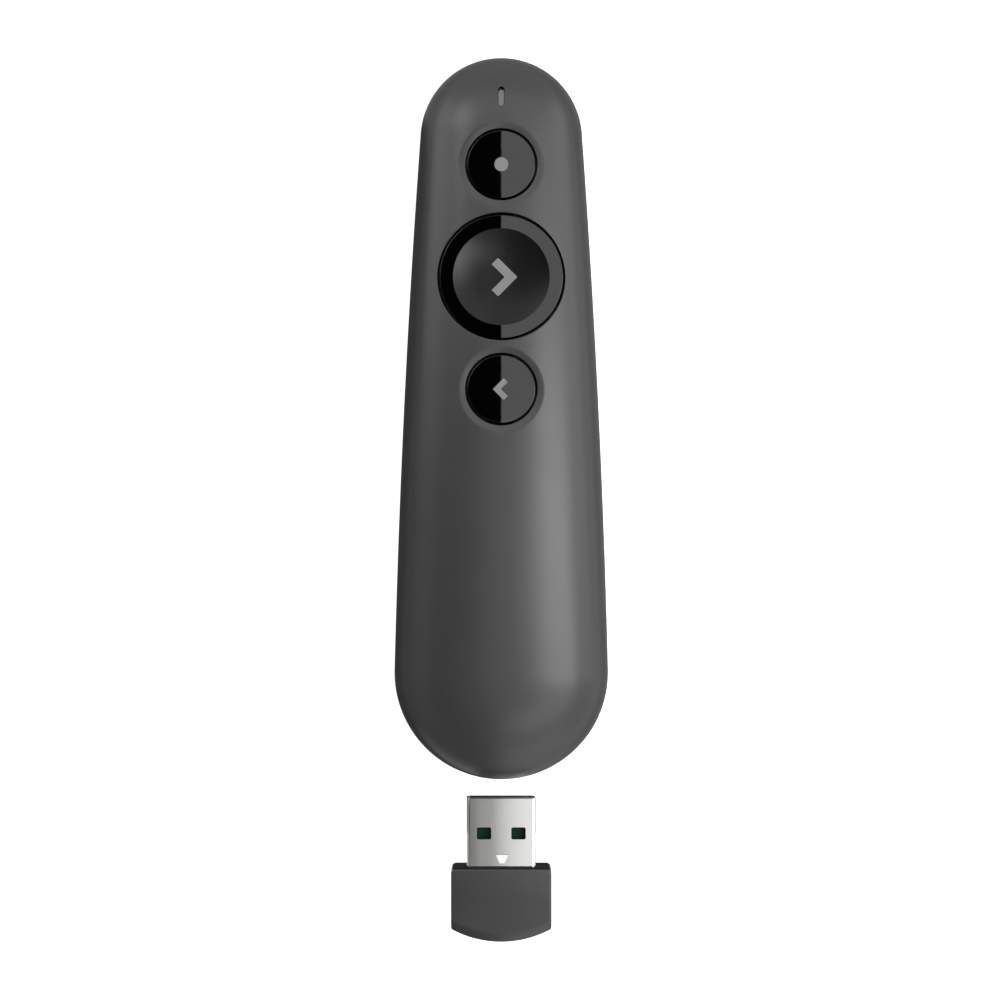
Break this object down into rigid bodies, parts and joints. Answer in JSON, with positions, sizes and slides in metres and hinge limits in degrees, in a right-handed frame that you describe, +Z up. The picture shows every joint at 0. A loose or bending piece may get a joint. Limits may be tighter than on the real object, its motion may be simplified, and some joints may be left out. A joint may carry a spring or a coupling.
{
  "type": "wireless presentation clicker",
  "caption": "Tapered pebble-shaped presentation remote with round glossy buttons, battery bay, laser and a USB receiver that docks in the tail.",
  "frame": {"origin": "under the middle of the box around the clicker and its pulled-out receiver, on the table", "axes": "+Z up through the buttons, +Y towards the laser end, +X to the right of the buttons"},
  "size_m": [0.0366, 0.1525, 0.025],
  "materials": {
    "soft_shell": "soft-touch graphite paint over moulded ABS, very fine grain",
    "receiver_plastic": "satin graphite moulded plastic",
    "gloss_black": "polished black plastic",
    "mark_grey": "light grey ink, satin",
    "frame_plastic": "black moulded plastic",
    "plunger_plastic": "natural nylon",
    "switch_plastic": "black moulded nylon",
    "board_green": "solder mask over glass-epoxy board",
    "tongue_green": "dark green solder mask",
    "copper": "tinned copper foil",
    "chip_black": "epoxy moulding compound",
    "led_white": "clear epoxy over a white case",
    "light_pipe": "smoked translucent polycarbonate",
    "brass": "turned brass",
    "clear_lens": "clear moulded lens",
    "gold_plate": "thin gold plating",
    "dark_window": "deep red filter window",
    "cell_wrap": "printed shrink sleeve left plain, over steel can",
    "plain_steel": "nickel-plated spring steel",
    "plug_steel": "nickel-plated pressed steel sheet, satin"
  },
  "bodies": {
    "clicker": {"top_shell": "soft_shell", "lower_shell": "soft_shell", "inner_frame": "frame_plastic", "laser_switch": "switch_plastic", "next_switch": "switch_plastic", "back_switch": "switch_plastic", "main_board": "board_green", "board_antenna": "copper", "radio_chip": "chip_black", "crystal_can": "plain_steel", "board_resistors": "chip_black", "status_led": "led_white", "status_light_pipe": "light_pipe", "laser_barrel": "brass", "laser_lens": "clear_lens", "laser_diode": "gold_plate", "window_ring": "gloss_black", "laser_window": "dark_window", "battery_left": "cell_wrap", "battery_right": "cell_wrap", "bridge_contact": "plain_steel", "terminal_contacts": "plain_steel", "contact_springs": "plain_steel", "frame_screws": "plain_steel", "case_screws": "plain_steel"},
    "laser_key": {"laser_button": "gloss_black", "laser_dot_mark": "mark_grey", "laser_plunger": "plunger_plastic"},
    "next_key": {"next_button": "gloss_black", "next_arrow_mark": "mark_grey", "next_plunger": "plunger_plastic"},
    "back_key": {"back_button": "gloss_black", "back_arrow_mark": "mark_grey", "back_plunger": "plunger_plastic"},
    "door": {"battery_door": "soft_shell"},
    "receiver": {"receiver_head": "receiver_plastic", "usb_shell": "plug_steel", "usb_tongue": "tongue_green", "usb_contacts": "gold_plate", "receiver_board": "board_green", "receiver_chip": "chip_black"}
  },
  "joints": [
    {"name": "laser_button_press", "type": "slide", "parent": "clicker", "child": "laser_key", "axis": [0, 0, -1], "range_m": [0, 0.0006], "stiffness_N_per_m": 800},
    {"name": "next_button_press", "type": "slide", "parent": "clicker", "child": "next_key", "axis": [0, 0, -1], "range_m": [0, 0.0006], "stiffness_N_per_m": 800},
    {"name": "back_button_press", "type": "slide", "parent": "clicker", "child": "back_key", "axis": [0, 0, -1], "range_m": [0, 0.0006], "stiffness_N_per_m": 800},
    {"name": "battery_door_slide", "type": "slide", "parent": "clicker", "child": "door", "axis": [0, 1, 0], "range_m": [0, 0.0595]},
    {"name": "receiver_slide", "type": "slide", "parent": "clicker", "child": "receiver", "axis": [0, 1, 0], "range_m": [0, 0.029]}
  ]
}
